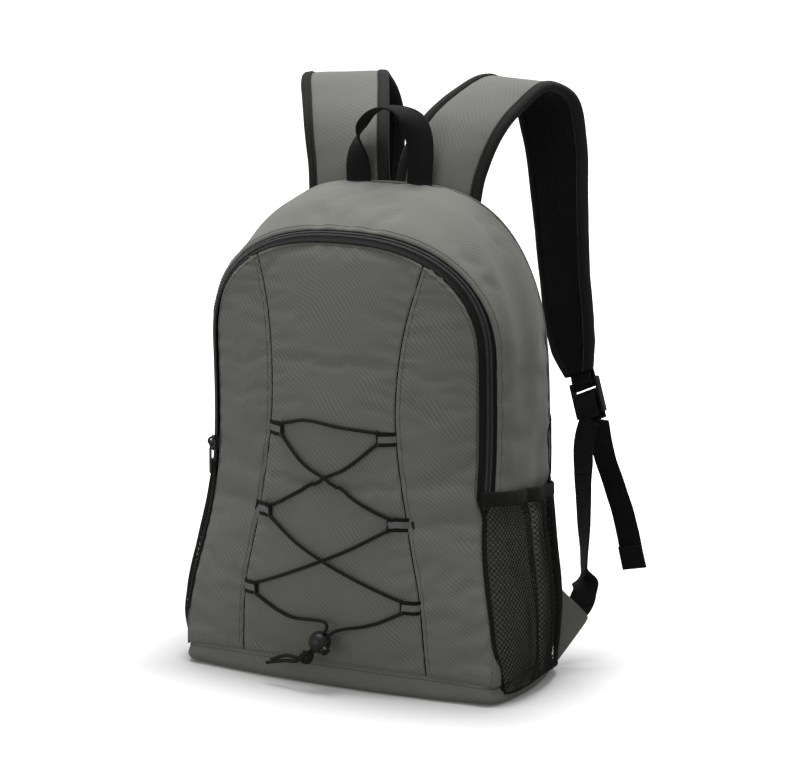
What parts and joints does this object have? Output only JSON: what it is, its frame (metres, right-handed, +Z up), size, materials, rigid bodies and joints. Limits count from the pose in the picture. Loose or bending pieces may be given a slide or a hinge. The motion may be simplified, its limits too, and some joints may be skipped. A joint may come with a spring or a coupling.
{
  "type": "daypack",
  "caption": "Soft daypack with a zipped front panel, cord lacing, mesh side pockets, a grab handle and two padded shoulder straps on adjustable webbing.",
  "frame": {"origin": "middle of the base, on the floor", "axes": "+Z up, -Y towards the zipped front, +Y towards the wearer's back, +X to the viewer's right seen from the front"},
  "size_m": [0.413, 0.2947, 0.5363],
  "materials": {
    "shell": "matte",
    "strap_shell": "matte",
    "lining": "matte",
    "mesh": "matte",
    "binding": "matte",
    "webbing": "matte",
    "zip_tape": "matte",
    "zip_coil": "satin",
    "zip_metal": "satin",
    "hardware": "satin",
    "cord": "matte",
    "foam": "matte",
    "board": "matte",
    "spring": "satin"
  },
  "bodies": {
    "bag": {"base_panel": "shell", "base_board": "board", "gusset": "shell", "back_panel_cover": "lining", "back_panel_foam": "foam", "back_panel_lining": "lining", "front_lower_centre": "shell", "front_lower_right": "shell", "front_lower_left": "shell", "zip_tape_gusset": "zip_tape", "zip_tape_foot": "zip_tape", "zip_coil_gusset": "zip_coil", "zip_coil_foot": "zip_coil", "pocket_mesh_right": "mesh", "pocket_mesh_left": "mesh", "pocket_binding_right": "binding", "pocket_binding_left": "binding", "strap_anchor_right": "strap_shell", "strap_anchor_left": "strap_shell", "wing_right": "shell", "wing_left": "shell", "wing_web_right": "webbing", "wing_web_left": "webbing", "lace_loops_lower": "webbing", "bungee_lower": "cord", "bungee_legs": "cord", "cord_through_lock": "cord", "cord_knot": "cord", "cord_tail": "cord"},
    "front_flap": {"flap_centre": "shell", "flap_right": "shell", "flap_left": "shell", "zip_tape_flap": "zip_tape", "zip_coil_flap": "zip_coil", "lace_loops_upper": "webbing", "bungee_upper": "cord"},
    "slider": {"zip_slider": "zip_metal"},
    "puller": {"zip_puller": "zip_metal"},
    "grab_handle": {"handle": "webbing"},
    "cord_lock": {"cord_lock_body": "hardware", "cord_lock_spring": "spring"},
    "cord_plunger": {"cord_lock_plunger": "hardware"},
    "strap_right": {"strap_face_right": "strap_shell", "strap_foam_right": "foam", "strap_lining_right": "lining", "strap_binding_right": "binding", "lock_loop_right": "webbing", "adjuster_web_right": "webbing"},
    "buckle_right": {"ladder_lock_right": "hardware", "web_wrap_right": "webbing"},
    "tail_right": {"web_tail_right": "webbing"},
    "strap_left": {"strap_face_left": "strap_shell", "strap_foam_left": "foam", "strap_lining_left": "lining", "strap_binding_left": "binding", "lock_loop_left": "webbing", "adjuster_web_left": "webbing"},
    "buckle_left": {"ladder_lock_left": "hardware", "web_wrap_left": "webbing"},
    "tail_left": {"web_tail_left": "webbing"}
  },
  "joints": [
    {"name": "front_flap_open", "type": "hinge", "parent": "bag", "child": "front_flap", "pos_m": [0, -0.091, 0.188], "axis": [1, 0, 0], "range_deg": [0, 110]},
    {"name": "zip_run", "type": "slide", "parent": "bag", "child": "slider", "axis": [0, 0.0259, 0.9997], "range_m": [0, 0.085]},
    {"name": "puller_swing", "type": "hinge", "parent": "slider", "child": "puller", "pos_m": [-0.1418, -0.04349, 0.20728], "axis": [-0.6309, 0.7756, -0.0201], "range_deg": [0, 170]},
    {"name": "handle_fold", "type": "hinge", "parent": "bag", "child": "grab_handle", "pos_m": [0, 0.041, 0.447], "axis": [1, 0, 0], "range_deg": [0, 80]},
    {"name": "cord_lock_slide", "type": "slide", "parent": "bag", "child": "cord_lock", "axis": [0.6202, 0.08, 0.7803], "range_m": [0, 0.012], "deforming": ["bungee_legs"]},
    {"name": "plunger_press", "type": "slide", "parent": "cord_lock", "child": "cord_plunger", "axis": [-0.7212, 0.4494, 0.5272], "range_m": [0, 0.002], "stiffness_N_per_m": 300, "deforming": ["cord_lock_spring"]},
    {"name": "strap_swing_right", "type": "hinge", "parent": "bag", "child": "strap_right", "pos_m": [0.046, 0.051, 0.456], "axis": [0.2987, 0.0998, -0.9491], "range_deg": [-12, 25]},
    {"name": "buckle_tilt_right", "type": "hinge", "parent": "strap_right", "child": "buckle_right", "pos_m": [0.14917, 0.14847, 0.25104], "axis": [0.8736, -0.2811, 0.3973], "range_deg": [0, 50]},
    {"name": "tail_swing_right", "type": "hinge", "parent": "buckle_right", "child": "tail_right", "pos_m": [0.16328, 0.14585, 0.21815], "axis": [0.8736, -0.2811, 0.3973], "range_deg": [-10, 30]},
    {"name": "strap_swing_left", "type": "hinge", "parent": "bag", "child": "strap_left", "pos_m": [-0.046, 0.051, 0.456], "axis": [0.2987, -0.0998, 0.9491], "range_deg": [-12, 25]},
    {"name": "buckle_tilt_left", "type": "hinge", "parent": "strap_left", "child": "buckle_left", "pos_m": [-0.14917, 0.14847, 0.25104], "axis": [0.8736, 0.2811, -0.3973], "range_deg": [0, 50]},
    {"name": "tail_swing_left", "type": "hinge", "parent": "buckle_left", "child": "tail_left", "pos_m": [-0.16328, 0.14585, 0.21815], "axis": [0.8736, 0.2811, -0.3973], "range_deg": [-10, 30]}
  ]
}
